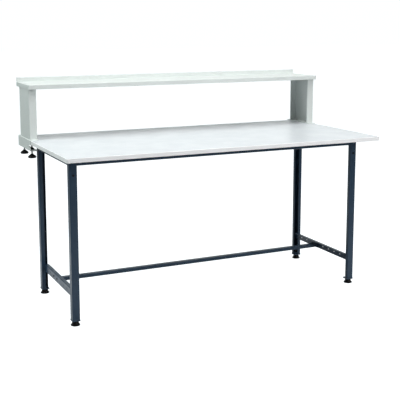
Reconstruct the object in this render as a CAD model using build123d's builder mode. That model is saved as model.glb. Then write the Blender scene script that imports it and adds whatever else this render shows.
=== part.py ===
"""Workbench: a laminated worktop on a folded steel frame with levelling feet, and a shelf clamped on above it.

Millimetres, +Z up, the user stands at -Y. The origin is on the floor, under the middle of the whole bench.
"""

import os

from build123d import *

os.makedirs("parts", exist_ok=True)

# Clearances
seat_gap = 0.3
running_gap = 0.05
hole_gap = 0.3
cut_overrun = 2.0

# Worktop: a coated board with a sheet of laminate on each face and a band round its edge
top_length = 1500.0
top_depth = 750.0
top_thickness = 18.0
top_height = 730.0
laminate_thickness = 0.8
edge_band_thickness = 2.0
edge_band_round = 1.5
top_corner_radius = 8.0

# Folded frame: four lipped angle legs, four top rails, two lower side rails and a stretcher
frame_sheet = 1.6
bend_radius = 2.4
end_overhang = 45.0
front_overhang = 120.0
leg_width = 33.0
leg_lip = 17.0
accessory_hole_radius = 3.5
accessory_hole_drop = 72.0
plug_radius = 4.75
plug_height = 1.4
plug_round = 0.9
plug_tail = 2.5
top_rail_height = 33.0
top_rail_flange = 30.0
side_rail_base = 108.5
side_rail_height = 32.5
side_rail_flange = 17.0
side_rail_notch = 4.5
rail_hole_radius = 2.75
rail_hole_pitch = 50.0
rail_first_hole = 87.0
rail_last_margin = 70.0
stretcher_width = 26.0
stretcher_height = 15.5
end_plate_width = 66.0
end_plate_thickness = 3.0
end_plate_corner = 4.0

# Fasteners of the frame and the riser
bolt_radius = 3.0
bolt_hex_radius = 5.77
bolt_head_height = 4.0
nut_height = 5.0
bolt_tail = 1.5
screw_radius = 2.0
screw_length = 13.0
screw_head_radius = 4.5
screw_head_height = 3.0
long_rail_screw_shares = (-0.9, -0.45, 0.0, 0.45, 0.9)
short_rail_screw_shares = (-0.5, 0.5)
button_radius = 2.5
button_head_radius = 4.5
button_head_height = 2.2
button_head_round = 1.2
button_socket_radius = 1.73
button_socket_depth = 1.3

# Levelling feet: a moulded base on a threaded stud in a nut plate under each leg
foot_height = 20.0
foot_radius = 20.0
foot_rim_height = 5.0
foot_neck_radius = 16.8
foot_top_radius = 12.5
foot_round = 1.4
foot_socket_floor = 2.5
stud_radius = 5.0
stud_head_radius = 8.0
stud_head_height = 3.0
stud_length = 58.0
stud_hex_radius = 4.0
stud_hex_height = 6.0
stud_chamfer = 0.8
nut_plate_width = 35.0
nut_plate_thickness = 5.0
nut_plate_round = 2.0
weld_nut_radius = 9.8
weld_nut_height = 8.0

# Riser: a folded shelf on two channel uprights, each on a bracket that clamps the worktop's end
shelf_height = 250.0
shelf_depth = 230.0
shelf_end_overhang = 3.0
shelf_rear_overhang = 30.0
shelf_sheet = 1.2
shelf_drop = 20.0
shelf_lip = 20.0
shelf_corner = 5.0
shelf_edge_round = 1.8
upright_inset = 0.5
upright_setback = 20.0
upright_rear_setback = 38.0
upright_flange = 35.0
upright_lip = 10.0
upright_sheet = 1.5
upright_tab_margin = 21.0
upright_tab_reach = 28.0
upright_stud_inset = 16.0
upright_stud_margin = 20.0
bracket_sheet = 3.0
bracket_front_margin = 19.0
bracket_rear_margin = 28.0
bracket_top_width = 36.0
bracket_jaw_width = 31.0
bracket_jaw_opening = 26.0
bracket_jaw_corner = 8.0
bracket_notch_depth = 40.0
bracket_notch_drop = 5.0
bracket_notch_height = 20.0

# Clamps: a lobed knob on a threaded rod that lifts a swivel pad against the worktop's underside
clamp_inset = 15.0
clamp_front_margin = 44.0
clamp_rear_margin = 35.0
clamp_rod_radius = 4.0
clamp_nut_radius = 11.5
clamp_nut_top_radius = 6.0
clamp_nut_flange = 2.0
clamp_nut_height = 9.0
pad_radius = 9.0
pad_thickness = 2.5
pad_boss_radius = 6.5
pad_boss_height = 4.0
pad_pivot_radius = 3.0
pad_pivot_height = 3.5
knob_radius = 18.5
knob_rim_low = 2.5
knob_rim_high = 6.5
knob_foot_radius = 16.0
knob_shoulder_radius = 15.0
knob_shoulder_height = 11.0
knob_neck_radius = 7.0
knob_neck_height = 16.0
knob_height = 19.0
knob_drop = 17.0
knob_bore_depth = 14.0
knob_lobes = 6
knob_scallop_radius = 6.0
knob_scallop_pitch_share = 1.16
knob_round = 1.2

# Places that follow from the sizes
front_y = -(top_depth + shelf_rear_overhang) / 2
rear_y = front_y + top_depth
mid_y = (front_y + rear_y) / 2
top_end = top_length / 2
top_underside = top_height - top_thickness
half_sheet = frame_sheet / 2
leg_x = top_end - end_overhang
leg_y = top_depth / 2 - front_overhang
leg_base = foot_height + seat_gap + nut_plate_thickness
lip_middle = (leg_lip + frame_sheet) / 2
top_rail_base = top_underside - top_rail_height
top_rail_middle = top_underside - top_rail_height / 2
rail_hole_height = side_rail_base + side_rail_height / 2
accessory_hole_height = top_underside - accessory_hole_drop
corners = {"front_left": (-1, -1), "front_right": (1, -1), "rear_left": (-1, 1), "rear_right": (1, 1)}
sides = {"left": -1, "right": 1}
ends = {"front": -1, "rear": 1}


def slab(x0, x1, y0, y1, z0, z1, mode=Mode.ADD):
    """Adds or cuts a straight block between two corners."""
    with BuildSketch(Plane.XY.offset(min(z0, z1))) as block_plan:
        with Locations(((x0 + x1) / 2, (y0 + y1) / 2)):
            Rectangle(abs(x1 - x0), abs(y1 - y0))
    extrude(block_plan.sketch, amount=abs(z1 - z0), mode=mode)


def rod(spot, heading, radius, length, mode=Mode.ADD):
    """Adds or cuts a round bar that starts at the spot and runs along the heading."""
    with BuildSketch(Plane(origin=spot, z_dir=heading)) as rod_end:
        Circle(radius)
    extrude(rod_end.sketch, amount=length, mode=mode)


def drill(spot, heading, radius, depth):
    """Cuts a round hole into the face at the spot, starting just outside it."""
    with BuildSketch(Plane(origin=spot, z_dir=heading).offset(-cut_overrun)) as hole_mouth:
        Circle(radius)
    extrude(hole_mouth.sketch, amount=cut_overrun + depth, mode=Mode.SUBTRACT)


def hexagon(spot, heading, radius, length, mode=Mode.ADD):
    """Adds or cuts a hexagonal block, such as a bolt's head or a key's socket, that starts at the spot."""
    with BuildSketch(Plane(origin=spot, z_dir=heading)) as hex_end:
        RegularPolygon(radius, 6)
    extrude(hex_end.sketch, amount=length, mode=mode)


def folded(points, sheet, plane, length):
    """Adds sheet bent along the points, drawn on the plane and run along its normal."""
    with BuildSketch(plane) as fold:
        with BuildLine():
            FilletPolyline(*points, radius=bend_radius)
        trace(line_width=sheet)
    extrude(fold.sketch, amount=length)


def leg_point(side, end, inward_x, inward_y):
    """A place in plan, measured inward from a leg's outer corner."""
    return (side * (leg_x - inward_x), mid_y + end * (leg_y - inward_y))


def keep(piece, name):
    """Names a finished piece and writes its file."""
    piece.part.label = name
    export_step(piece.part, f"parts/{name}.step")


# Top rails hold the worktop with screws from below, through their upper flanges
long_rail_half = leg_x - leg_width
short_rail_half = leg_y - leg_width
screw_inset = top_rail_flange / 2
long_screws = [
    (share * long_rail_half, mid_y + end * (leg_y - screw_inset))
    for end in ends.values()
    for share in long_rail_screw_shares
]
short_screws = [
    (side * (leg_x - screw_inset), mid_y + share * short_rail_half)
    for side in sides.values()
    for share in short_rail_screw_shares
]
worktop_screw_places = long_screws + short_screws
screw_seat = top_underside - frame_sheet

# Worktop
inner_length = top_length - 2 * edge_band_thickness
inner_depth = top_depth - 2 * edge_band_thickness
inner_corner = top_corner_radius - edge_band_thickness
board_base = top_underside + laminate_thickness
screw_tip = screw_seat + screw_length
worktop_layers = {
    "worktop_backer": (top_underside, board_base),
    "worktop_board": (board_base, top_height - laminate_thickness),
    "worktop_laminate": (top_height - laminate_thickness, top_height),
}
for name, (low, high) in worktop_layers.items():
    with BuildPart() as layer:
        with BuildSketch(Plane.XY.offset(low)):
            with Locations((0, mid_y)):
                RectangleRounded(inner_length, inner_depth, inner_corner)
        extrude(amount=high - low)
        if low < screw_tip:
            for x, y in worktop_screw_places:
                drill((x, y, low), (0, 0, 1), screw_radius + running_gap, min(high, screw_tip + seat_gap) - low)
    keep(layer, name)

with BuildPart() as worktop_edge_band:
    with BuildSketch(Plane.XY.offset(top_underside)):
        with Locations((0, mid_y)):
            RectangleRounded(top_length, top_depth, top_corner_radius)
    extrude(amount=top_thickness)
    band_rims = worktop_edge_band.edges().group_by(Axis.Z)
    fillet(band_rims[0] + band_rims[-1], edge_band_round)
    with BuildSketch(Plane.XY.offset(top_underside - cut_overrun)):
        with Locations((0, mid_y)):
            RectangleRounded(inner_length, inner_depth, inner_corner)
    extrude(amount=top_thickness + 2 * cut_overrun, mode=Mode.SUBTRACT)
keep(worktop_edge_band, "worktop_edge_band")

with BuildPart() as worktop_screws:
    for x, y in worktop_screw_places:
        rod((x, y, screw_seat), (0, 0, 1), screw_radius, screw_length)
        rod((x, y, screw_seat), (0, 0, -1), screw_head_radius, screw_head_height)
keep(worktop_screws, "worktop_screws")

# Legs: lipped angles, open towards the middle of the bench
for corner, (side, end) in corners.items():
    with BuildPart() as leg:
        leg_line = [
            leg_point(side, end, leg_width - half_sheet, leg_lip),
            leg_point(side, end, leg_width - half_sheet, half_sheet),
            leg_point(side, end, half_sheet, half_sheet),
            leg_point(side, end, half_sheet, leg_width - half_sheet),
            leg_point(side, end, leg_lip, leg_width - half_sheet),
        ]
        folded(leg_line, frame_sheet, Plane.XY.offset(leg_base), top_underside - leg_base)
        face_x, face_y = leg_point(side, end, leg_width / 2, 0)
        drill((face_x, face_y, accessory_hole_height), (0, -end, 0), accessory_hole_radius, frame_sheet + cut_overrun)
        lip_x, lip_y = leg_point(side, end, leg_width, lip_middle)
        drill((lip_x, lip_y, top_rail_middle), (side, 0, 0), bolt_radius + hole_gap, frame_sheet + cut_overrun)
        lip_x, lip_y = leg_point(side, end, lip_middle, leg_width)
        drill((lip_x, lip_y, top_rail_middle), (0, end, 0), bolt_radius + hole_gap, frame_sheet + cut_overrun)
    keep(leg, f"{corner}_leg")

# Domed plugs that close the legs' accessory holes, their stems through the sheet
plug_spots = []
for side, end in corners.values():
    x, y = leg_point(side, end, leg_width / 2, 0)
    plug_spots.append(((x, y, accessory_hole_height), (0, end, 0)))
with BuildPart() as leg_plugs:
    for spot, outward in plug_spots:
        rod(spot, outward, plug_radius, plug_height)
    domes = leg_plugs.edges().group_by(Axis.Y)
    fillet(domes[0] + domes[-1], plug_round)
    for spot, outward in plug_spots:
        rod(spot, -Vector(*outward), accessory_hole_radius - running_gap, frame_sheet + plug_tail)
keep(leg_plugs, "leg_plugs")

# Long top rails: channels between the legs, open inward, each end closed by a bolting tab
for name, end in ends.items():
    with BuildPart() as long_rail:
        outer_y = mid_y + end * leg_y
        rail_line = [
            (outer_y - end * top_rail_flange, top_rail_base + half_sheet),
            (outer_y - end * half_sheet, top_rail_base + half_sheet),
            (outer_y - end * half_sheet, top_underside - half_sheet),
            (outer_y - end * top_rail_flange, top_underside - half_sheet),
        ]
        folded(rail_line, frame_sheet, Plane.YZ.offset(-long_rail_half), 2 * long_rail_half)
        for side in sides.values():
            tab_x = side * (long_rail_half - frame_sheet)
            tab_y = outer_y - end * leg_lip
            web_y = outer_y - end * half_sheet
            slab(tab_x, side * long_rail_half, tab_y, web_y, top_rail_base + half_sheet, top_underside - half_sheet)
            hole_y = outer_y - end * lip_middle
            drill((side * long_rail_half, hole_y, top_rail_middle), (-side, 0, 0), bolt_radius + hole_gap,
                  frame_sheet + cut_overrun)
        for share in long_rail_screw_shares:
            spot = (share * long_rail_half, outer_y - end * screw_inset, top_underside)
            drill(spot, (0, 0, -1), screw_radius + hole_gap, frame_sheet + cut_overrun)
    keep(long_rail, f"{name}_top_rail")

# Short top rails: the same channel from front leg to rear leg
for name, side in sides.items():
    with BuildPart() as short_rail:
        outer_x = side * leg_x
        rail_line = [
            (outer_x - side * top_rail_flange, top_rail_base + half_sheet),
            (outer_x - side * half_sheet, top_rail_base + half_sheet),
            (outer_x - side * half_sheet, top_underside - half_sheet),
            (outer_x - side * top_rail_flange, top_underside - half_sheet),
        ]
        folded(rail_line, frame_sheet, Plane.XZ.offset(-mid_y - short_rail_half), 2 * short_rail_half)
        for end in ends.values():
            rail_end = mid_y + end * short_rail_half
            tab_x = outer_x - side * leg_lip
            web_x = outer_x - side * half_sheet
            slab(tab_x, web_x, rail_end - end * frame_sheet, rail_end, top_rail_base + half_sheet,
                 top_underside - half_sheet)
            hole_x = outer_x - side * lip_middle
            drill((hole_x, rail_end, top_rail_middle), (0, -end, 0), bolt_radius + hole_gap,
                  frame_sheet + cut_overrun)
        for share in short_rail_screw_shares:
            spot = (outer_x - side * screw_inset, mid_y + share * short_rail_half, top_underside)
            drill(spot, (0, 0, -1), screw_radius + hole_gap, frame_sheet + cut_overrun)
    keep(short_rail, f"{name}_top_rail")

# Bolts through the rails' tabs and the legs' lips, heads in the rail and nuts in the leg
tab_bolts = []
for side, end in corners.values():
    x, y = leg_point(side, end, leg_width, lip_middle)
    tab_bolts.append(((x, y, top_rail_middle), (side, 0, 0)))
    x, y = leg_point(side, end, lip_middle, leg_width)
    tab_bolts.append(((x, y, top_rail_middle), (0, end, 0)))
bolt_grip = 2 * frame_sheet
shank_length = bolt_grip + nut_height + bolt_tail

with BuildPart() as top_rail_bolts:
    for spot, outward in tab_bolts:
        head_face = Vector(*spot) - Vector(*outward) * frame_sheet
        rod(head_face, outward, bolt_radius, shank_length)
        hexagon(head_face, -Vector(*outward), bolt_hex_radius, bolt_head_height)
keep(top_rail_bolts, "top_rail_bolts")

with BuildPart() as top_rail_nuts:
    for spot, outward in tab_bolts:
        nut_face = Vector(*spot) + Vector(*outward) * frame_sheet
        hexagon(nut_face, outward, bolt_hex_radius, nut_height)
        drill(nut_face, outward, bolt_radius + running_gap, nut_height + cut_overrun)
keep(top_rail_nuts, "top_rail_nuts")

# Lower side rails: perforated webs with an inward flange, their ends welded inside the legs
rail_hole_count = int((2 * leg_y - rail_first_hole - rail_last_margin) / rail_hole_pitch) + 1
hole_ys = [mid_y - leg_y + rail_first_hole + n * rail_hole_pitch for n in range(rail_hole_count)]
rail_top = side_rail_base + side_rail_height
for name, side in sides.items():
    with BuildPart() as side_rail:
        web_x = side * (leg_x - leg_lip)
        rail_line = [
            (web_x - side * half_sheet, side_rail_base),
            (web_x - side * half_sheet, rail_top - half_sheet),
            (web_x - side * side_rail_flange, rail_top - half_sheet),
        ]
        folded(rail_line, frame_sheet, Plane.XZ.offset(-mid_y - short_rail_half), 2 * short_rail_half)
        for end in ends.values():
            tongue_start = mid_y + end * short_rail_half
            tongue_end = mid_y + end * (leg_y - frame_sheet)
            slab(web_x, web_x - side * frame_sheet, tongue_start, tongue_end, side_rail_base,
                 rail_top - side_rail_notch)
        for y in hole_ys:
            drill((web_x, y, rail_hole_height), (-side, 0, 0), rail_hole_radius, frame_sheet + cut_overrun)
    keep(side_rail, f"{name}_side_rail")

# Stretcher: an inverted channel whose top widens at each end to meet a bolted plate
plate_face = leg_x - leg_lip - frame_sheet
stretcher_half = plate_face - end_plate_thickness
stretcher_holes = (rail_hole_count // 2, rail_hole_count // 2 + 1)
stretcher_y = (hole_ys[stretcher_holes[0]] + hole_ys[stretcher_holes[1]]) / 2
stretcher_top = side_rail_base + stretcher_height
flare_radius = (end_plate_width - stretcher_width) / 2
with BuildPart() as stretcher:
    near_y = stretcher_y - stretcher_width / 2 + half_sheet
    far_y = stretcher_y + stretcher_width / 2 - half_sheet
    stretcher_line = [
        (near_y, side_rail_base),
        (near_y, stretcher_top - half_sheet),
        (far_y, stretcher_top - half_sheet),
        (far_y, side_rail_base),
    ]
    folded(stretcher_line, frame_sheet, Plane.YZ.offset(-stretcher_half), 2 * stretcher_half)
    for side in sides.values():
        with BuildSketch(Plane.XY.offset(stretcher_top - frame_sheet)):
            with Locations((side * (stretcher_half - flare_radius / 2), stretcher_y)):
                Rectangle(flare_radius, end_plate_width)
            flare_x = side * (stretcher_half - flare_radius)
            with Locations((flare_x, stretcher_y - end_plate_width / 2), (flare_x, stretcher_y + end_plate_width / 2)):
                Circle(flare_radius, mode=Mode.SUBTRACT)
        extrude(amount=frame_sheet)
keep(stretcher, "stretcher")

plate_top = rail_top - half_sheet - bend_radius - seat_gap
for name, side in sides.items():
    with BuildPart() as end_plate:
        near_y = stretcher_y - end_plate_width / 2
        far_y = stretcher_y + end_plate_width / 2
        slab(side * stretcher_half, side * plate_face, near_y, far_y, side_rail_base, plate_top)
        fillet(end_plate.edges().filter_by(Axis.X), end_plate_corner)
        for hole in stretcher_holes:
            drill((side * plate_face, hole_ys[hole], rail_hole_height), (-side, 0, 0), button_radius + running_gap,
                  end_plate_thickness + cut_overrun)
    keep(end_plate, f"{name}_stretcher_plate")

with BuildPart() as stretcher_screws:
    for side in sides.values():
        for hole in stretcher_holes:
            head_seat = (side * (leg_x - leg_lip), hole_ys[hole], rail_hole_height)
            with BuildSketch(Plane(origin=head_seat, z_dir=(side, 0, 0))):
                Circle(button_head_radius)
            extrude(amount=button_head_height)
    crowns = stretcher_screws.edges().group_by(SortBy.LENGTH)[-1].group_by(Axis.X)
    fillet(crowns[0] + crowns[-1], button_head_round)
    for side in sides.values():
        for hole in stretcher_holes:
            head_seat = (side * (leg_x - leg_lip), hole_ys[hole], rail_hole_height)
            rod(head_seat, (-side, 0, 0), button_radius, frame_sheet + end_plate_thickness)
            socket_mouth = (side * (leg_x - leg_lip + button_head_height), hole_ys[hole], rail_hole_height)
            hexagon(socket_mouth, (-side, 0, 0), button_socket_radius, button_socket_depth, Mode.SUBTRACT)
keep(stretcher_screws, "stretcher_screws")

# Levelling feet: nut plates under the legs, studs that turn in them, and bases that swivel on the studs
plate_base = foot_height + seat_gap
stud_base = foot_socket_floor + seat_gap
foot_centres = {name: leg_point(side, end, leg_width / 2, leg_width / 2) for name, (side, end) in corners.items()}
for corner, (x, y) in foot_centres.items():
    with BuildPart() as nut_plate:
        with BuildSketch(Plane.XY.offset(plate_base)):
            with Locations((x, y)):
                RectangleRounded(nut_plate_width, nut_plate_width, nut_plate_round)
        extrude(amount=nut_plate_thickness)
        drill((x, y, plate_base), (0, 0, 1), stud_radius + hole_gap, nut_plate_thickness + cut_overrun)
    keep(nut_plate, f"{corner}_nut_plate")

    with BuildPart() as foot_base:
        with BuildSketch(Plane(origin=(x, y, 0), x_dir=(1, 0, 0), z_dir=(0, -1, 0))):
            with BuildLine():
                FilletPolyline(
                    (0, 0),
                    (foot_radius, 0),
                    (foot_radius, foot_rim_height),
                    (foot_neck_radius, foot_rim_height),
                    (foot_top_radius, foot_height),
                    (0, foot_height),
                    radius=foot_round,
                )
                Line((0, foot_height), (0, 0))
            make_face()
        revolve(axis=Axis((x, y, 0), (0, 0, 1)))
        socket_height = stud_head_height + 2 * seat_gap
        rod((x, y, foot_socket_floor), (0, 0, 1), stud_head_radius + running_gap, socket_height, Mode.SUBTRACT)
        drill((x, y, foot_height), (0, 0, -1), stud_radius + running_gap, foot_height - foot_socket_floor)
    keep(foot_base, f"{corner}_foot_base")

    with BuildPart() as foot_stud:
        rod((x, y, stud_base), (0, 0, 1), stud_radius, stud_length)
        chamfer(foot_stud.edges().group_by(Axis.Z)[-1], stud_chamfer)
        rod((x, y, stud_base), (0, 0, 1), stud_head_radius, stud_head_height)
        hexagon((x, y, stud_base + stud_length), (0, 0, 1), stud_hex_radius, stud_hex_height)
    keep(foot_stud, f"{corner}_foot_stud")

with BuildPart() as foot_weld_nuts:
    for x, y in foot_centres.values():
        hexagon((x, y, leg_base), (0, 0, 1), weld_nut_radius, weld_nut_height)
        drill((x, y, leg_base), (0, 0, 1), stud_radius + running_gap, weld_nut_height + cut_overrun)
keep(foot_weld_nuts, "foot_weld_nuts")

# Riser shelf: one folded sheet with its front and ends turned down and its rear edge turned up
shelf_top = top_height + shelf_height
shelf_half = top_end + shelf_end_overhang
shelf_rear = rear_y + shelf_rear_overhang
shelf_front = shelf_rear - shelf_depth
shelf_base = shelf_top - shelf_drop
with BuildPart() as riser_shelf:
    with BuildSketch(Plane.XY.offset(shelf_base)) as shelf_plan:
        with Locations((0, (shelf_front + shelf_rear) / 2)):
            Rectangle(2 * shelf_half, shelf_depth)
        fillet(shelf_plan.vertices().group_by(Axis.Y)[0], shelf_corner)
    extrude(amount=shelf_drop)
    shelf_rim = riser_shelf.edges().group_by(Axis.Z)[-1].sort_by(Axis.Y)[:-1]
    fillet(shelf_rim, shelf_edge_round)
    with BuildSketch(Plane.XY.offset(shelf_base - cut_overrun)) as shelf_hollow:
        with Locations((0, (shelf_front + shelf_sheet + shelf_rear + cut_overrun) / 2)):
            Rectangle(2 * (shelf_half - shelf_sheet), shelf_depth - shelf_sheet + cut_overrun)
        fillet(shelf_hollow.vertices().group_by(Axis.Y)[0], shelf_corner - shelf_sheet)
    extrude(amount=cut_overrun + shelf_drop - shelf_sheet, mode=Mode.SUBTRACT)
    slab(-shelf_half, shelf_half, shelf_rear - shelf_sheet, shelf_rear, shelf_top - shelf_sheet, shelf_top + shelf_lip)
keep(riser_shelf, "riser_shelf")

# Uprights: lipped channels, web outward, with a turned-in tab at the foot and at the head
upright_web = top_end - upright_inset
upright_front = shelf_front + upright_setback
upright_rear = shelf_rear - upright_rear_setback
upright_base = top_height + bracket_sheet
upright_top = shelf_top - shelf_sheet
half_upright_sheet = upright_sheet / 2
lip_edge = upright_web - upright_flange + half_upright_sheet
tab_near = upright_front + upright_tab_margin
tab_far = upright_rear - upright_tab_margin
stud_ys = [tab_near + upright_stud_margin, tab_far - upright_stud_margin]
for name, side in sides.items():
    with BuildPart() as upright:
        upright_line = [
            (side * lip_edge, upright_front + upright_lip),
            (side * lip_edge, upright_front + half_upright_sheet),
            (side * (upright_web - half_upright_sheet), upright_front + half_upright_sheet),
            (side * (upright_web - half_upright_sheet), upright_rear - half_upright_sheet),
            (side * lip_edge, upright_rear - half_upright_sheet),
            (side * lip_edge, upright_rear - upright_lip),
        ]
        folded(upright_line, upright_sheet, Plane.XY.offset(upright_base), upright_top - upright_base)
        tab_end = side * (upright_web - upright_tab_reach)
        tab_root = side * (upright_web - half_upright_sheet)
        slab(tab_end, tab_root, tab_near, tab_far, upright_base, upright_base + upright_sheet)
        slab(tab_end, tab_root, tab_near, tab_far, upright_top - upright_sheet, upright_top)
        for y in stud_ys:
            stud_x = side * (upright_web - upright_stud_inset)
            drill((stud_x, y, upright_base), (0, 0, 1), bolt_radius + hole_gap, upright_sheet + cut_overrun)
            drill((stud_x, y, upright_top), (0, 0, -1), bolt_radius + hole_gap, upright_sheet + cut_overrun)
    keep(upright, f"{name}_upright")

# Weld studs and nuts that hold the uprights to the shelf above and the brackets below
stud_places = [(side * (upright_web - upright_stud_inset), y) for side in sides.values() for y in stud_ys]
riser_stud_length = upright_sheet + nut_height + bolt_tail
riser_joints = {"shelf": (upright_top, -1), "bracket": (upright_base, 1)}
for name, (seat, heading) in riser_joints.items():
    with BuildPart() as weld_studs:
        for x, y in stud_places:
            rod((x, y, seat), (0, 0, heading), bolt_radius, riser_stud_length)
    keep(weld_studs, f"{name}_weld_studs")

    with BuildPart() as riser_nuts:
        for x, y in stud_places:
            nut_seat = (x, y, seat + heading * upright_sheet)
            hexagon(nut_seat, (0, 0, heading), bolt_hex_radius, nut_height)
            drill(nut_seat, (0, 0, heading), bolt_radius + running_gap, nut_height + cut_overrun)
    keep(riser_nuts, f"{name}_nuts")

# Clamp brackets: plate bent to a C round the worktop's end
jaw_top = top_underside - bracket_jaw_opening
half_plate = bracket_sheet / 2
bracket_wall = top_end + seat_gap + half_plate
bracket_front = upright_front - bracket_front_margin
bracket_rear = upright_rear + bracket_rear_margin
clamp_ys = {"front": bracket_front + clamp_front_margin, "rear": bracket_rear - clamp_rear_margin}
clamp_x = top_end - clamp_inset
for name, side in sides.items():
    with BuildPart() as bracket:
        bracket_line = [
            (side * (top_end - bracket_jaw_width), jaw_top - half_plate),
            (side * bracket_wall, jaw_top - half_plate),
            (side * bracket_wall, top_height + half_plate),
            (side * (top_end - bracket_top_width), top_height + half_plate),
        ]
        folded(bracket_line, bracket_sheet, Plane.XZ.offset(-bracket_rear), bracket_rear - bracket_front)
        chamfer(bracket.edges().filter_by(Axis.Z).group_by(Axis.Z)[0], bracket_jaw_corner)
        with BuildSketch(Plane.YZ.offset(min(0, side * (top_end + bracket_sheet + cut_overrun)))):
            with BuildLine():
                Polyline(
                    (bracket_front - cut_overrun, top_underside),
                    (bracket_front, top_underside),
                    (bracket_front + bracket_notch_depth, top_underside - bracket_notch_drop),
                    (bracket_front, top_underside - bracket_notch_height),
                    (bracket_front - cut_overrun, top_underside - bracket_notch_height),
                    (bracket_front - cut_overrun, top_underside),
                )
            make_face()
        extrude(amount=top_end + bracket_sheet + cut_overrun, mode=Mode.SUBTRACT)
        for y in clamp_ys.values():
            drill((side * clamp_x, y, jaw_top), (0, 0, -1), clamp_rod_radius + hole_gap, bracket_sheet + cut_overrun)
    keep(bracket, f"{name}_clamp_bracket")

with BuildPart() as clamp_nuts:
    for side in sides.values():
        for y in clamp_ys.values():
            with BuildSketch(Plane(origin=(side * clamp_x, y, jaw_top), x_dir=(1, 0, 0), z_dir=(0, -1, 0))):
                with BuildLine():
                    Polyline(
                        (0, 0),
                        (clamp_nut_radius, 0),
                        (clamp_nut_radius, clamp_nut_flange),
                        (clamp_nut_top_radius, clamp_nut_height),
                        (0, clamp_nut_height),
                        (0, 0),
                    )
                make_face()
            revolve(axis=Axis((side * clamp_x, y, 0), (0, 0, 1)))
            drill((side * clamp_x, y, jaw_top), (0, 0, 1), clamp_rod_radius + running_gap,
                  clamp_nut_height + cut_overrun)
keep(clamp_nuts, "clamp_nuts")

# Clamp screws, their swivel pads and their knobs
pad_top = top_underside - seat_gap
pad_base = pad_top - pad_thickness - pad_boss_height
rod_top = pad_base - seat_gap
knob_top = jaw_top - bracket_sheet - knob_drop
knob_base = knob_top - knob_height
rod_base = knob_top - knob_bore_depth + seat_gap
for end_name, y in clamp_ys.items():
    for side_name, side in sides.items():
        x = side * clamp_x
        with BuildPart() as clamp_pad:
            rod((x, y, pad_top), (0, 0, -1), pad_radius, pad_thickness)
            rod((x, y, pad_base), (0, 0, 1), pad_boss_radius, pad_boss_height)
            drill((x, y, pad_base), (0, 0, 1), pad_pivot_radius + running_gap, pad_pivot_height + seat_gap)
        keep(clamp_pad, f"{end_name}_{side_name}_clamp_pad")

        with BuildPart() as clamp_screw:
            rod((x, y, rod_base), (0, 0, 1), clamp_rod_radius, rod_top - rod_base)
            rod((x, y, rod_top), (0, 0, 1), pad_pivot_radius, pad_pivot_height)
        keep(clamp_screw, f"{end_name}_{side_name}_clamp_screw")

        with BuildPart() as clamp_knob:
            with BuildSketch(Plane(origin=(x, y, knob_base), x_dir=(1, 0, 0), z_dir=(0, -1, 0))):
                with BuildLine():
                    FilletPolyline(
                        (0, 0),
                        (knob_foot_radius, 0),
                        (knob_radius, knob_rim_low),
                        (knob_radius, knob_rim_high),
                        (knob_shoulder_radius, knob_shoulder_height),
                        (knob_neck_radius, knob_neck_height),
                        (knob_neck_radius, knob_height),
                        (0, knob_height),
                        radius=knob_round,
                    )
                    Line((0, knob_height), (0, 0))
                make_face()
            revolve(axis=Axis((x, y, 0), (0, 0, 1)))
            with BuildSketch(Plane.XY.offset(knob_base)):
                with Locations((x, y)):
                    with PolarLocations(knob_radius * knob_scallop_pitch_share, knob_lobes):
                        Circle(knob_scallop_radius)
            extrude(amount=knob_height, mode=Mode.SUBTRACT)
            drill((x, y, knob_top), (0, 0, -1), clamp_rod_radius + running_gap, knob_bore_depth)
        keep(clamp_knob, f"{end_name}_{side_name}_clamp_knob")
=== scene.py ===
"""A workbench: laminated worktop, dark steel frame on levelling feet, riser shelf on clamps."""

import math

import bmesh
import bpy
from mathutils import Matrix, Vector


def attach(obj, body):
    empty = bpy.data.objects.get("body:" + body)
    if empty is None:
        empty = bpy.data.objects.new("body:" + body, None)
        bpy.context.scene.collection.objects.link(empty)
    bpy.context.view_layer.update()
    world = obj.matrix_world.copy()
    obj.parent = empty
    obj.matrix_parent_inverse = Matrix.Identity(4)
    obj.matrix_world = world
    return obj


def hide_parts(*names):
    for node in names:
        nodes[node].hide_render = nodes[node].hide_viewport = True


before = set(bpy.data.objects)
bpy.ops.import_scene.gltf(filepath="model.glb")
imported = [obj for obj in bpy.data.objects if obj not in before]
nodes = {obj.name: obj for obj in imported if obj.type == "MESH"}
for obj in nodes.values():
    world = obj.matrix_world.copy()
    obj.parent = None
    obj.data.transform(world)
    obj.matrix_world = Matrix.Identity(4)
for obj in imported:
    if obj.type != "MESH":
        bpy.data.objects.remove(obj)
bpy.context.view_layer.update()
millimetre = 0.001

# Worktop.
# A pressed board with a light grey laminate on top, a plain balancing sheet below and a plastic
# band round its edge. The band is glued on, trimmed flush and rounded. A fine darker line is
# painted along the laminate's edge, where it meets the band.
corner_names = ("front_left", "front_right", "rear_left", "rear_right")
top_half_length = 748 * millimetre
top_half_depth = 373 * millimetre
top_middle_y = -15 * millimetre
top_corner_radius = 6 * millimetre
laminate_colour = (0.605, 0.635, 0.66, 1)
laminate_line_colour = (0.4, 0.45, 0.48, 1)
laminate_line_width = 2 * millimetre
backer_colour = (0.74, 0.74, 0.72, 1)
band_colour = (0.97, 0.975, 0.98, 1)
chip_dark = (0.3, 0.2, 0.11, 1)
chip_light = (0.66, 0.52, 0.33, 1)
chips_per_metre = 420
chip_tone_low = 0.2
chip_tone_high = 0.9


def start_effect(name, inputs, outputs):
    """Opens a node group for an effect that several finishes share, with its sockets named."""
    effect = bpy.data.node_groups.new(name, "ShaderNodeTree")
    for label, value in inputs.items():
        kind = "NodeSocketColor" if isinstance(value, tuple) else "NodeSocketFloat"
        socket = effect.interface.new_socket(name=label, in_out="INPUT", socket_type=kind)
        socket.default_value = value
    for label, kind in outputs.items():
        effect.interface.new_socket(name=label, in_out="OUTPUT", socket_type=kind)
    return effect, effect.nodes.new("NodeGroupInput"), effect.nodes.new("NodeGroupOutput")


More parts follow.
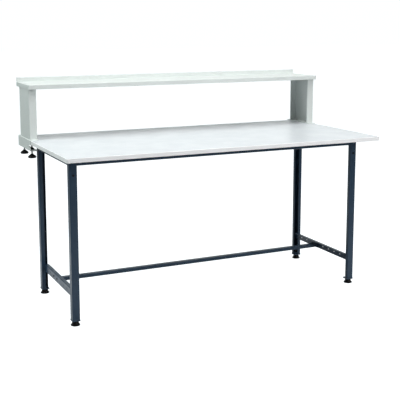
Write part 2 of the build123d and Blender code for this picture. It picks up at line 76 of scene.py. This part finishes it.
def feed(tree, socket, value):
    """Links a socket to another node's output, or gives it a plain value."""
    if isinstance(value, bpy.types.NodeSocket):
        tree.links.new(value, socket)
    else:
        socket.default_value = value


def remap(tree, value, low, high, new_low, new_high):
    """Carries a value from one range to another, smoothly."""
    node = tree.nodes.new("ShaderNodeMapRange")
    node.interpolation_type = "SMOOTHSTEP"
    feed(tree, node.inputs["Value"], value)
    feed(tree, node.inputs["From Min"], low)
    feed(tree, node.inputs["From Max"], high)
    feed(tree, node.inputs["To Min"], new_low)
    feed(tree, node.inputs["To Max"], new_high)
    return node.outputs["Result"]


def arithmetic(tree, operation, first, second=0):
    """One sum on one or two values."""
    node = tree.nodes.new("ShaderNodeMath")
    node.operation = operation
    feed(tree, node.inputs[0], first)
    feed(tree, node.inputs[1], second)
    return node.outputs["Value"]


def piece_place(tree):
    """The place of a shaded point, measured on its own piece."""
    return tree.nodes.new("ShaderNodeTexCoord").outputs["Object"]


def cloud(tree, per_metre, detail, roughness=0.5):
    """Soft noise that stays with the piece."""
    noise = tree.nodes.new("ShaderNodeTexNoise")
    noise.inputs["Detail"].default_value = detail
    noise.inputs["Roughness"].default_value = roughness
    tree.links.new(piece_place(tree), noise.inputs["Vector"])
    feed(tree, noise.inputs["Scale"], per_metre)
    return noise.outputs["Fac"]


# The skin that every coated, moulded or plated surface has: slow colour drift, fine specks,
# wiped smudges and a grain.
noise_low = 0.3
noise_high = 0.7
patch_detail = 3
grain_detail = 2
smudges_per_patch = 2.7
smudge_detail = 6
smudge_raggedness = 0.65
smudge_start = 0.35
smudge_full = 0.7
smudge_polish = -0.6
grain_strength = 0.5

coated_skin, skin_in, skin_out = start_effect(
    "Coated skin",
    {
        "Colour": (0.5, 0.5, 0.5, 1),
        "Patches per Metre": 6.0,
        "Patch Strength": 0.03,
        "Grains per Metre": 900.0,
        "Speck Strength": 0.02,
        "Roughness": 0.4,
        "Smudge": 0.08,
    },
    {"Colour": "NodeSocketColor", "Roughness": "NodeSocketFloat", "Height": "NodeSocketFloat"},
)
patch = cloud(coated_skin, skin_in.outputs["Patches per Metre"], patch_detail)
grain = cloud(coated_skin, skin_in.outputs["Grains per Metre"], grain_detail)
patch_swing = arithmetic(
    coated_skin, "MULTIPLY",
    remap(coated_skin, patch, noise_low, noise_high, -1, 1), skin_in.outputs["Patch Strength"],
)
speck_swing = arithmetic(
    coated_skin, "MULTIPLY",
    remap(coated_skin, grain, noise_low, noise_high, -1, 1), skin_in.outputs["Speck Strength"],
)
tone_swing = arithmetic(coated_skin, "ADD", patch_swing, speck_swing)
brightness = arithmetic(coated_skin, "ADD", tone_swing, 1)
tone = coated_skin.nodes.new("ShaderNodeHueSaturation")
coated_skin.links.new(skin_in.outputs["Colour"], tone.inputs["Color"])
coated_skin.links.new(brightness, tone.inputs["Value"])
coated_skin.links.new(tone.outputs["Color"], skin_out.inputs["Colour"])
smudges_per_metre = arithmetic(
    coated_skin, "MULTIPLY", skin_in.outputs["Patches per Metre"], smudges_per_patch,
)
smudge_field = cloud(coated_skin, smudges_per_metre, smudge_detail, smudge_raggedness)
smudge_swing = arithmetic(
    coated_skin, "MULTIPLY",
    remap(coated_skin, smudge_field, smudge_start, smudge_full, smudge_polish, 1),
    skin_in.outputs["Smudge"],
)
smudged_roughness = arithmetic(coated_skin, "ADD", smudge_swing, skin_in.outputs["Roughness"])
coated_skin.links.new(smudged_roughness, skin_out.inputs["Roughness"])
coated_skin.links.new(grain, skin_out.inputs["Height"])


def coated_material(name, colour, skin, grain_depth, metallic=0.0):
    """A finish made of the coated skin with its own values, and a fine bump."""
    material = bpy.data.materials.new(name)
    material.use_nodes = True
    tree = material.node_tree
    shader = tree.nodes["Principled BSDF"]
    shader.inputs["Metallic"].default_value = metallic
    group = tree.nodes.new("ShaderNodeGroup")
    group.name = "skin"
    group.node_tree = coated_skin
    group.inputs["Colour"].default_value = colour
    for label, value in skin.items():
        group.inputs[label].default_value = value
    tree.links.new(group.outputs["Colour"], shader.inputs["Base Color"])
    tree.links.new(group.outputs["Roughness"], shader.inputs["Roughness"])
    bump = tree.nodes.new("ShaderNodeBump")
    bump.name = "grain"
    bump.inputs["Strength"].default_value = grain_strength
    bump.inputs["Distance"].default_value = grain_depth
    tree.links.new(group.outputs["Height"], bump.inputs["Height"])
    tree.links.new(bump.outputs["Normal"], shader.inputs["Normal"])
    return material


def finish_nodes(material, *names):
    """Gives CAD pieces their finish."""
    for name in names:
        for slot in nodes[name].material_slots:
            slot.material = material


def blend_colour(tree, mask, base, over):
    """Lays one colour over another where the mask is white."""
    mix = tree.nodes.new("ShaderNodeMix")
    mix.data_type = "RGBA"
    tree.links.new(mask, mix.inputs["Factor"])
    colour_inputs = [socket for socket in mix.inputs if socket.type == "RGBA"]
    feed(tree, colour_inputs[0], base)
    feed(tree, colour_inputs[1], over)
    return next(socket for socket in mix.outputs if socket.type == "RGBA")


def overlay(material, mask, over):
    """Lays a colour over a coated material's own colour where the mask is white."""
    tree = material.node_tree
    covered = blend_colour(tree, mask, tree.nodes["skin"].outputs["Colour"], over)
    tree.links.new(covered, tree.nodes["Principled BSDF"].inputs["Base Color"])


def flat_place(tree, place):
    """The X and Y of a place."""
    axes = tree.nodes.new("ShaderNodeSeparateXYZ")
    tree.links.new(place, axes.inputs["Vector"])
    return axes.outputs["X"], axes.outputs["Y"]


laminate = coated_material(
    "light grey laminate", laminate_colour,
    {
        "Patches per Metre": 3.0, "Patch Strength": 0.012,
        "Grains per Metre": 700.0, "Speck Strength": 0.02,
        "Roughness": 0.36, "Smudge": 0.1,
    },
    grain_depth=0.06 * millimetre,
)

# The line follows the laminate's outline: it starts where the distance past a rectangle that is
# smaller by the corner radius comes near that radius.
laminate_tree = laminate.node_tree
laminate_x, laminate_y = flat_place(laminate_tree, piece_place(laminate_tree))
along = arithmetic(laminate_tree, "ABSOLUTE", laminate_x)
across = arithmetic(
    laminate_tree, "ABSOLUTE", arithmetic(laminate_tree, "SUBTRACT", laminate_y, top_middle_y),
)
past_squares = []
for distance, half_size in ((along, top_half_length), (across, top_half_depth)):
    past = arithmetic(laminate_tree, "SUBTRACT", distance, half_size - top_corner_radius)
    past = arithmetic(laminate_tree, "MAXIMUM", past, 0)
    past_squares.append(arithmetic(laminate_tree, "MULTIPLY", past, past))
past_corner = arithmetic(laminate_tree, "SQRT", arithmetic(laminate_tree, "ADD", *past_squares))
darker_edge_line = remap(
    laminate_tree, past_corner, top_corner_radius - laminate_line_width, top_corner_radius, 0, 1,
)
overlay(laminate, darker_edge_line, laminate_line_colour)
finish_nodes(laminate, "worktop_laminate")

backer = coated_material(
    "balancing sheet", backer_colour,
    {
        "Patches per Metre": 5.0, "Patch Strength": 0.04,
        "Grains per Metre": 500.0, "Speck Strength": 0.04,
        "Roughness": 0.6, "Smudge": 0.08,
    },
    grain_depth=0.05 * millimetre,
)
finish_nodes(backer, "worktop_backer")

edge_band = coated_material(
    "plastic edge band", band_colour,
    {
        "Patches per Metre": 9.0, "Patch Strength": 0.015,
        "Grains per Metre": 1400.0, "Speck Strength": 0.012,
        "Roughness": 0.38, "Smudge": 0.1,
    },
    grain_depth=0.03 * millimetre,
)
finish_nodes(edge_band, "worktop_edge_band")

pressed_board = coated_material(
    "pressed board", chip_light,
    {
        "Patches per Metre": 20.0, "Patch Strength": 0.1,
        "Grains per Metre": 600.0, "Speck Strength": 0.15,
        "Roughness": 0.8, "Smudge": 0.05,
    },
    grain_depth=0.3 * millimetre,
)
board_tree = pressed_board.node_tree
chips = board_tree.nodes.new("ShaderNodeTexVoronoi")
chips.inputs["Scale"].default_value = chips_per_metre
board_tree.links.new(piece_place(board_tree), chips.inputs["Vector"])
chip_tone = remap(board_tree, chips.outputs["Color"], chip_tone_low, chip_tone_high, 0, 1)
overlay(pressed_board, chip_tone, chip_dark)
finish_nodes(pressed_board, "worktop_board")

# Folded frame.
# Legs, top rails, lower side rails, stretcher and foot plates are folded or cut from steel sheet
# and plate. They are powder coated a semi-gloss dark navy grey, thinner and a little lighter over
# the sharp edges; that lighter edge colour is also a painted highlight.
frame_colour = (0.018, 0.043, 0.078, 1)
frame_edge_wear_and_highlight_colour = (0.075, 0.09, 0.11, 1)
frame_edge_wear_and_highlight_amount = 0.5
frame_gloss = 0.3
frame_nodes = (
    [f"{corner}_leg" for corner in corner_names]
    + [f"{corner}_nut_plate" for corner in corner_names]
    + [f"{side}_top_rail" for side in ("front", "rear", "left", "right")]
    + ["left_side_rail", "right_side_rail", "stretcher"]
    + ["left_stretcher_plate", "right_stretcher_plate", "foot_weld_nuts"]
)

# Where a coating thins over an edge, and where a painted highlight lies along it: the true normal
# differs there from one that is rounded over the edge.
edge_mask_reach = 0.8 * millimetre
rounding_samples = 4
flat_likeness = 0.995
edge_likeness = 0.8
rubs_per_metre = 60
rub_detail = 4
rub_start = 0.35
rub_full = 0.6
least_rub = 0.35

edge_wear_and_highlight, edge_in, edge_out = start_effect(
    "Edge wear and highlight", {"Reach": 0.001, "Amount": 0.6}, {"Mask": "NodeSocketFloat"},
)
rounding = edge_wear_and_highlight.nodes.new("ShaderNodeBevel")
rounding.samples = rounding_samples
surface = edge_wear_and_highlight.nodes.new("ShaderNodeNewGeometry")
likeness = edge_wear_and_highlight.nodes.new("ShaderNodeVectorMath")
likeness.operation = "DOT_PRODUCT"
edge_wear_and_highlight.links.new(edge_in.outputs["Reach"], rounding.inputs["Radius"])
edge_wear_and_highlight.links.new(rounding.outputs["Normal"], likeness.inputs[0])
edge_wear_and_highlight.links.new(surface.outputs["Normal"], likeness.inputs[1])
edge_closeness = remap(
    edge_wear_and_highlight, likeness.outputs["Value"], flat_likeness, edge_likeness, 0, 1,
)
rub_field = cloud(edge_wear_and_highlight, rubs_per_metre, rub_detail)
rubbing = remap(edge_wear_and_highlight, rub_field, rub_start, rub_full, least_rub, 1)
rubbed_and_highlit_edge = arithmetic(edge_wear_and_highlight, "MULTIPLY", edge_closeness, rubbing)
worn_and_highlit = arithmetic(edge_wear_and_highlight, "MULTIPLY", rubbed_and_highlit_edge, edge_in.outputs["Amount"])
edge_wear_and_highlight.links.new(worn_and_highlit, edge_out.inputs["Mask"])


def paint_edge_wear_and_highlight(material, edge_colour, amount):
    """Paints a lighter colour along edges, for thinner coating and as a painted highlight."""
    group = material.node_tree.nodes.new("ShaderNodeGroup")
    group.node_tree = edge_wear_and_highlight
    group.inputs["Reach"].default_value = edge_mask_reach
    group.inputs["Amount"].default_value = amount
    overlay(material, group.outputs["Mask"], edge_colour)


frame_paint = coated_material(
    "dark powder coat", frame_colour,
    {
        "Patches per Metre": 8.0, "Patch Strength": 0.08,
        "Grains per Metre": 650.0, "Speck Strength": 0.05,
        "Roughness": 0.34, "Smudge": 0.08,
    },
    grain_depth=0.08 * millimetre,
)
frame_shader = frame_paint.node_tree.nodes["Principled BSDF"]
frame_shader.inputs["Specular IOR Level"].default_value = frame_gloss
paint_edge_wear_and_highlight(frame_paint, frame_edge_wear_and_highlight_colour, frame_edge_wear_and_highlight_amount)
finish_nodes(frame_paint, *frame_nodes)

# Frame welds.
# Short fillet welds join the side rails to the legs' lips and the foot plates to the legs.
# They are laid by hand as a row of ripples and coated with the frame.
weld_width = 3 * millimetre
weld_ripple = 1.3 * millimetre
weld_ripple_depth = 0.15
weld_steps_per_ripple = 4
weld_steps_at_least = 6
weld_steps_round = 8
weld_tip_share = 0.25
weld_taper_slope = 6
side_rail_face = 688 * millimetre
lip_end_y = 222 * millimetre
side_rail_low = 113 * millimetre
side_rail_high = 131 * millimetre
foot_plate_top = 25.3 * millimetre
leg_face_x = 705 * millimetre
leg_face_y = 255 * millimetre
foot_weld_start = 6 * millimetre
foot_weld_end = 28 * millimetre


def skin_rings(builder, rings):
    """Joins rings of corners one after the other and closes both ends."""
    for near, far in zip(rings, rings[1:]):
        for turn in range(len(near)):
            after = (turn + 1) % len(near)
            builder.faces.new((near[turn], near[after], far[after], far[turn]))
    builder.faces.new(rings[0][::-1])
    builder.faces.new(rings[-1])


def weld_bead(builder, start, finish):
    """Adds a rippled bead between two points to the mesh being built."""
    path = finish - start
    wanted_steps = round(path.length / (weld_ripple / weld_steps_per_ripple))
    step_count = max(weld_steps_at_least, wanted_steps)
    side = path.orthogonal().normalized()
    up = path.cross(side).normalized()
    rings = []
    for step in range(step_count + 1):
        share = step / step_count
        wave = abs(math.sin(math.pi * share * path.length / weld_ripple))
        ripple = 1 - weld_ripple_depth + weld_ripple_depth * wave
        taper = min(1, weld_taper_slope * min(share, 1 - share) + weld_tip_share)
        radius = weld_width / 2 * ripple * taper
        centre = start + path * share
        ring = []
        for turn in range(weld_steps_round):
            angle = 2 * math.pi * turn / weld_steps_round
            outward = math.cos(angle) * side + math.sin(angle) * up
            ring.append(builder.verts.new(centre + radius * outward))
        rings.append(ring)
    skin_rings(builder, rings)


def piece_from(builder, name, material):
    """Turns a built mesh into a named smooth piece with its finish."""
    bmesh.ops.recalc_face_normals(builder, faces=builder.faces)
    mesh = bpy.data.meshes.new(name)
    builder.to_mesh(mesh)
    builder.free()
    mesh.materials.append(material)
    mesh.shade_smooth()
    piece = bpy.data.objects.new(name, mesh)
    bpy.context.scene.collection.objects.link(piece)
    return piece


side_rail_beads = bmesh.new()
for side in (-1, 1):
    for end in (-1, 1):
        bead_x = side * side_rail_face
        bead_y = top_middle_y + end * lip_end_y
        weld_bead(
            side_rail_beads,
            Vector((bead_x, bead_y, side_rail_low)), Vector((bead_x, bead_y, side_rail_high)),
        )
side_rail_welds = piece_from(side_rail_beads, "side_rail_welds", frame_paint)
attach(side_rail_welds, "bench")

foot_plate_beads = bmesh.new()
for side in (-1, 1):
    for end in (-1, 1):
        plate_corner = Vector((side * leg_face_x, top_middle_y + end * leg_face_y, foot_plate_top))
        for inward in (Vector((-side, 0, 0)), Vector((0, -end, 0))):
            weld_bead(
                foot_plate_beads,
                plate_corner + foot_weld_start * inward, plate_corner + foot_weld_end * inward,
            )
foot_plate_welds = piece_from(foot_plate_beads, "foot_plate_welds", frame_paint)
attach(foot_plate_welds, "bench")

# Fasteners.
# Bolts, nuts, weld studs, board screws and clamp screws are steel, zinc plated with a faint yellow
# cast. The stretcher's button screws, the clamp nuts and the foot studs are black oxide steel.
zinc_colour = (0.58, 0.59, 0.58, 1)
zinc_cast_colour = (0.56, 0.54, 0.44, 1)
casts_per_metre = 45
cast_detail = 3
cast_start = 0.4
cast_full = 0.65
cast_strength = 0.8
black_oxide_colour = (0.012, 0.012, 0.013, 1)

zinc = coated_material(
    "zinc plated steel", zinc_colour,
    {
        "Patches per Metre": 90.0, "Patch Strength": 0.06,
        "Grains per Metre": 2500.0, "Speck Strength": 0.05,
        "Roughness": 0.34, "Smudge": 0.12,
    },
    grain_depth=0.03 * millimetre, metallic=1.0,
)
cast_field = cloud(zinc.node_tree, casts_per_metre, cast_detail)
cast = remap(zinc.node_tree, cast_field, cast_start, cast_full, 0, cast_strength)
overlay(zinc, cast, zinc_cast_colour)
finish_nodes(
    zinc, "worktop_screws", "top_rail_bolts", "top_rail_nuts", "shelf_weld_studs", "shelf_nuts",
    "bracket_weld_studs", "bracket_nuts",
)

black_oxide = coated_material(
    "black oxide steel", black_oxide_colour,
    {
        "Patches per Metre": 70.0, "Patch Strength": 0.15,
        "Grains per Metre": 2200.0, "Speck Strength": 0.1,
        "Roughness": 0.38, "Smudge": 0.1,
    },
    grain_depth=0.03 * millimetre, metallic=0.4,
)
finish_nodes(black_oxide, "stretcher_screws")

# Levelling feet.
# A moulded black base swivels on the flat head of an M10 black oxide stud, which screws up through
# the plate into the leg. The stud is rolled, so its thread is a true helix; a hexagon on top takes
# a spanner from inside the leg.
moulded_black = (0.004, 0.004, 0.0045, 1)
moulded_black_edge_wear_and_highlight = (0.018, 0.018, 0.019, 1)
moulded_edge_wear_and_highlight_amount = 0.6
moulded_gloss = 0.15
foot_offset_x = 688.5 * millimetre
foot_offset_y = 238.5 * millimetre
stud_low = 2.8 * millimetre
stud_head_top = 5.8 * millimetre
stud_high = 60.8 * millimetre
stud_hex_top = 66.8 * millimetre
stud_radius = 5 * millimetre
stud_head_radius = 8 * millimetre
stud_head_break = 0.4 * millimetre
stud_head_overlap = 0.2 * millimetre
stud_hex_radius = 4 * millimetre
stud_hex_sides = 6
stud_hex_overlap = 1 * millimetre
stud_hex_chamfer_width = 0.4 * millimetre
stud_hex_chamfer_height = 0.5 * millimetre
stud_pitch = 1.5 * millimetre
drum_steps_round = 32
thread_steps_round = 20
thread_steps_per_pitch = 4
thread_depth_in_pitches = 0.61
thread_flank_slope = 3
thread_root_share = 0.25
thread_end_depth_share = 0.6
thread_crease_angle = 50

moulded_plastic = coated_material(
    "moulded black plastic", moulded_black,
    {
        "Patches per Metre": 40.0, "Patch Strength": 0.1,
        "Grains per Metre": 1800.0, "Speck Strength": 0.12,
        "Roughness": 0.42, "Smudge": 0.08,
    },
    grain_depth=0.12 * millimetre,
)
moulded_shader = moulded_plastic.node_tree.nodes["Principled BSDF"]
moulded_shader.inputs["Specular IOR Level"].default_value = moulded_gloss
# Lighter edges: partly rubbed wear, partly a painted edge highlight.
paint_edge_wear_and_highlight(moulded_plastic, moulded_black_edge_wear_and_highlight, moulded_edge_wear_and_highlight_amount)
finish_nodes(moulded_plastic, *[f"{corner}_foot_base" for corner in corner_names])


def point_round(axis, radius, angle, z):
    """A point at a radius and angle round a vertical axis."""
    return axis.x + radius * math.cos(angle), axis.y + radius * math.sin(angle), z


def threaded_rod(builder, axis, low, high, radius, pitch):
    """Adds a rolled right-hand thread between two heights, closed and run out at both ends."""
    depth = thread_depth_in_pitches * pitch
    steps = round((high - low) / pitch * thread_steps_per_pitch)
    rings = []
    for step in range(steps + 1):
        z = low + (high - low) * step / steps
        run_out = min(1, (z - low) / pitch, (high - z) / pitch)
        ring = []
        for turn in range(thread_steps_round):
            share = turn / thread_steps_round
            phase = (z / pitch - share) % 1
            crest = min(1, max(0, thread_flank_slope * abs(phase - 0.5) - thread_root_share))
            cut = (1 - crest) * run_out + thread_end_depth_share * (1 - run_out)
            place = point_round(axis, radius - depth * cut, 2 * math.pi * share, z)
            ring.append(builder.verts.new(place))
        rings.append(ring)
    skin_rings(builder, rings)


def stepped_drum(builder, axis, outline, steps_round=drum_steps_round):
    """Adds a turned solid from its radius and height pairs, or a prism if it has few sides."""
    rings = []
    for radius, z in outline:
        angles = [2 * math.pi * turn / steps_round for turn in range(steps_round)]
        rings.append([builder.verts.new(point_round(axis, radius, angle, z)) for angle in angles])
    skin_rings(builder, rings)


def crisp_edges(piece, angle):
    """Keeps faces smooth but edges sharper than the angle crisp."""
    creased = bmesh.new()
    creased.from_mesh(piece.data)
    for edge in creased.edges:
        edge.smooth = not (edge.is_manifold and edge.calc_face_angle() > math.radians(angle))
    creased.to_mesh(piece.data)
    creased.free()


for corner in corner_names:
    end_name, side_name = corner.split("_")
    foot = Vector((
        foot_offset_x if side_name == "right" else -foot_offset_x,
        top_middle_y + (foot_offset_y if end_name == "rear" else -foot_offset_y),
        0,
    ))
    stud = bmesh.new()
    stepped_drum(stud, foot, [
        (stud_head_radius - stud_head_break, stud_low),
        (stud_head_radius, stud_low + stud_head_break),
        (stud_head_radius, stud_head_top - stud_head_break),
        (stud_head_radius - stud_head_break, stud_head_top),
    ])
    threaded_rod(
        stud, foot, stud_head_top - stud_head_overlap, stud_high, stud_radius, stud_pitch,
    )
    stepped_drum(stud, foot, [
        (stud_hex_radius, stud_high - stud_hex_overlap),
        (stud_hex_radius, stud_hex_top - stud_hex_chamfer_height),
        (stud_hex_radius - stud_hex_chamfer_width, stud_hex_top),
    ], stud_hex_sides)
    threaded_stud = piece_from(stud, f"{corner}_threaded_stud", black_oxide)
    crisp_edges(threaded_stud, thread_crease_angle)
    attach(threaded_stud, f"{corner}_stud")
    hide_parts(f"{corner}_foot_stud")

# Leg plugs.
# Domed caps moulded from the same black plastic close the accessory hole near the top of each
# leg's front. Their stems are pushed through the sheet from outside.
finish_nodes(moulded_plastic, "leg_plugs")

# Riser.
# The shelf is one folded sheet with its front and ends turned down and its rear edge turned up as
# a stop. It is bolted to two lipped channel uprights on bent plate brackets, all powder coated a
# fine textured light grey.
riser_colour = (0.68, 0.722, 0.704, 1)
riser_edge_wear_and_highlight_colour = (0.78, 0.8, 0.79, 1)
riser_edge_wear_and_highlight_amount = 0.5

riser_paint = coated_material(
    "light powder coat", riser_colour,
    {
        "Patches per Metre": 5.0, "Patch Strength": 0.008,
        "Grains per Metre": 1000.0, "Speck Strength": 0.025,
        "Roughness": 0.42, "Smudge": 0.02,
    },
    grain_depth=0.1 * millimetre,
)
# The lighter edge colour is partly thinner coat, partly a painted highlight along the bends.
paint_edge_wear_and_highlight(riser_paint, riser_edge_wear_and_highlight_colour, riser_edge_wear_and_highlight_amount)
finish_nodes(
    riser_paint, "riser_shelf", "left_upright", "right_upright", "left_clamp_bracket",
    "right_clamp_bracket",
)

# Clamps.
# Each bracket has two flanged weld nuts, and through them M8 screws with a lobed knob below and a
# swivel pad on top. Turning the knob drives the pad up against the worktop's underside.
clamp_x = 735 * millimetre
clamp_ys = {"front": 205 * millimetre, "rear": 345 * millimetre}
clamp_rod_low = 652.3 * millimetre
clamp_rod_high = 704.9 * millimetre
clamp_rod_radius = 4 * millimetre
clamp_pitch = 1.25 * millimetre
clamp_neck_high = 708.4 * millimetre
clamp_neck_radius = 3 * millimetre
clamp_neck_overlap = 1 * millimetre
clamp_neck_chamfer = 0.5 * millimetre
pad_colour = (0.03, 0.03, 0.032, 1)

pad_plastic = coated_material(
    "swivel pad plastic", pad_colour,
    {
        "Patches per Metre": 60.0, "Patch Strength": 0.1,
        "Grains per Metre": 1500.0, "Speck Strength": 0.08,
        "Roughness": 0.5, "Smudge": 0.06,
    },
    grain_depth=0.05 * millimetre,
)
finish_nodes(black_oxide, "clamp_nuts")
finish_nodes(pad_plastic, *[f"{corner}_clamp_pad" for corner in corner_names])
finish_nodes(moulded_plastic, *[f"{corner}_clamp_knob" for corner in corner_names])

for corner in corner_names:
    end_name, side_name = corner.split("_")
    axis = Vector((clamp_x if side_name == "right" else -clamp_x, clamp_ys[end_name], 0))
    screw = bmesh.new()
    threaded_rod(screw, axis, clamp_rod_low, clamp_rod_high, clamp_rod_radius, clamp_pitch)
    stepped_drum(screw, axis, [
        (clamp_neck_radius, clamp_rod_high - clamp_neck_overlap),
        (clamp_neck_radius, clamp_neck_high - clamp_neck_chamfer),
        (clamp_neck_radius - clamp_neck_chamfer, clamp_neck_high),
    ])
    threaded_screw = piece_from(screw, f"{corner}_threaded_screw", zinc)
    crisp_edges(threaded_screw, thread_crease_angle)
    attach(threaded_screw, f"{corner}_screw")
    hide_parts(f"{corner}_clamp_screw")

# Studio floor.
# A pale floor that looks white to the camera. In reflections it is a lit pool around the bench,
# shaded under the bench and dark far out.
floor_size = 60
floor_colour = (0.4, 0.4, 0.41, 1)
floor_drift_colour = (0.41, 0.41, 0.42, 1)
floor_drifts_per_metre = 3
floor_drift_detail = 3
floor_roughness = 0.9
floor_gloss = 0.1
floor_glow = 1
floor_glow_colour = (0.94, 0.985, 1, 1)
floor_mirror_glow = 0.9
floor_pool_full = 1.1
floor_pool_end = 2.6
floor_shade_length = 1.66
floor_shade_depth = 1.0
floor_shade_full = 0.65
floor_shade_glow = 0.12

floor_mesh = bpy.data.meshes.new("studio_floor")
floor_half = floor_size / 2
floor_corners = [
    (x * floor_half, y * floor_half, 0) for x, y in ((-1, -1), (1, -1), (1, 1), (-1, 1))
]
floor_mesh.from_pydata(floor_corners, [], [(0, 1, 2, 3)])
floor_paint = bpy.data.materials.new("white studio floor")
floor_paint.use_nodes = True
floor_tree = floor_paint.node_tree
floor_shader = floor_tree.nodes["Principled BSDF"]
floor_shader.inputs["Roughness"].default_value = floor_roughness
floor_shader.inputs["Specular IOR Level"].default_value = floor_gloss
floor_field = cloud(floor_tree, floor_drifts_per_metre, floor_drift_detail)
floor_tone = remap(floor_tree, floor_field, noise_low, noise_high, 0, 1)
floor_drift = blend_colour(floor_tree, floor_tone, floor_colour, floor_drift_colour)
floor_tree.links.new(floor_drift, floor_shader.inputs["Base Color"])
floor_sight = floor_tree.nodes.new("ShaderNodeLightPath")
seen_glow = arithmetic(
    floor_tree, "MULTIPLY", floor_sight.outputs["Is Camera Ray"], floor_glow,
)
floor_place = piece_place(floor_tree)
floor_x, floor_y = flat_place(floor_tree, floor_place)
floor_distance = floor_tree.nodes.new("ShaderNodeVectorMath")
floor_distance.operation = "LENGTH"
floor_tree.links.new(floor_place, floor_distance.inputs[0])
lit_pool = remap(
    floor_tree, floor_distance.outputs["Value"], floor_pool_full, floor_pool_end,
    floor_mirror_glow, 0,
)
shade_x = arithmetic(
    floor_tree, "DIVIDE", arithmetic(floor_tree, "ABSOLUTE", floor_x), floor_shade_length / 2,
)
shade_y = arithmetic(
    floor_tree, "DIVIDE", arithmetic(floor_tree, "ABSOLUTE", floor_y), floor_shade_depth / 2,
)
shade_edge = arithmetic(floor_tree, "MAXIMUM", shade_x, shade_y)
unshaded = remap(floor_tree, shade_edge, floor_shade_full, 1, floor_shade_glow, 1)
shaded_pool = arithmetic(floor_tree, "MULTIPLY", lit_pool, unshaded)
mirrored_glow = arithmetic(
    floor_tree, "MULTIPLY", floor_sight.outputs["Is Glossy Ray"], shaded_pool,
)
floor_light = arithmetic(floor_tree, "MAXIMUM", seen_glow, mirrored_glow)
floor_tree.links.new(floor_light, floor_shader.inputs["Emission Strength"])
floor_shader.inputs["Emission Color"].default_value = floor_glow_colour
floor_mesh.materials.append(floor_paint)
floor = bpy.data.objects.new("studio_floor", floor_mesh)
bpy.context.scene.collection.objects.link(floor)

# Lights.
# Four square soft lights face the bench: the key from above and a little in front, one in front
# on the right, one high on the left and a weak one on the right.
bench_middle = Vector((0, 0, 0.6))
key_place = Vector((0, -0.8, 3.5))
key_size = 2.5
key_power = 76
key_colour = (1, 0.985, 0.985)
front_place = Vector((1.7, -4.3, 2.4))
front_size = 2
front_power = 88
front_colour = (1, 1, 1)
side_place = Vector((-3.2, 0.2, 3.2))
side_size = 2
side_power = 76
side_colour = (0.9, 1, 0.975)
fill_place = Vector((3.4, 0.4, 2.8))
fill_size = 2
fill_power = 34
fill_colour = (0.97, 1, 0.99)


def soft_light(name, place, size, power, colour):
    """A square soft light that faces the middle of the bench."""
    lamp = bpy.data.lights.new(name, "AREA")
    lamp.size = size
    lamp.energy = power
    lamp.color = colour
    light = bpy.data.objects.new(name, lamp)
    light.location = place
    light.rotation_mode = "QUATERNION"
    light.rotation_quaternion = (bench_middle - place).to_track_quat("-Z", "Y")
    bpy.context.scene.collection.objects.link(light)


soft_light("key_light", key_place, key_size, key_power, key_colour)
soft_light("front_light", front_place, front_size, front_power, front_colour)
soft_light("side_light", side_place, side_size, side_power, side_colour)
soft_light("fill_light", fill_place, fill_size, fill_power, fill_colour)

# Room.
# The room glows overhead and behind the bench, as with soft boxes above and a lit white backdrop.
# To the camera it is plain white.
room_colour = (0.95, 0.99, 0.98, 1)
room_strength = 0.01
zenith_strength = 0.24
rear_strength = 1.45
rear_start = 0.2
rear_low = 0.12
rear_high = 0.45
backdrop_strength = 1.05

room = bpy.data.worlds.new("studio_room")
room.use_nodes = True
air = room.node_tree
backdrop = air.nodes["Background"]
backdrop.inputs["Color"].default_value = room_colour
direction = air.nodes.new("ShaderNodeTexCoord")
heading = air.nodes.new("ShaderNodeSeparateXYZ")
air.links.new(direction.outputs["Generated"], heading.inputs["Vector"])
overhead = remap(
    air, heading.outputs["Z"], 0, 1, room_strength, room_strength + zenith_strength,
)
behind = remap(air, heading.outputs["Y"], rear_start, 1, 0, rear_strength)
near_floor = remap(air, heading.outputs["Z"], rear_low, rear_high, 1, 0)
rearward = arithmetic(air, "MULTIPLY", behind, near_floor)
room_light = arithmetic(air, "ADD", overhead, rearward)
room_sight = air.nodes.new("ShaderNodeLightPath")
seen = air.nodes.new("ShaderNodeMix")
seen.inputs["B"].default_value = backdrop_strength
air.links.new(room_sight.outputs["Is Camera Ray"], seen.inputs["Factor"])
air.links.new(room_light, seen.inputs["A"])
air.links.new(seen.outputs["Result"], backdrop.inputs["Strength"])
bpy.context.scene.world = room
bpy.context.scene.view_settings.view_transform = "Standard"

# Camera.
# It stands in front of the bench on the left, a little above the riser, and looks down slightly.
camera_place = (-1.6982, -3.5911, 1.2743)
camera_turn = 25.45
camera_tilt = 8.62
camera_lens = 77.18
camera_rise = -0.13
sensor_width = 36

camera_data = bpy.data.cameras.new("viewpoint")
camera_data.sensor_width = sensor_width
camera_data.lens = camera_lens
camera_data.shift_y = camera_rise
camera = bpy.data.objects.new("viewpoint", camera_data)
camera.location = camera_place
camera.rotation_euler = (math.radians(90 - camera_tilt), 0, math.radians(-camera_turn))
bpy.context.scene.collection.objects.link(camera)
bpy.context.scene.camera = camera
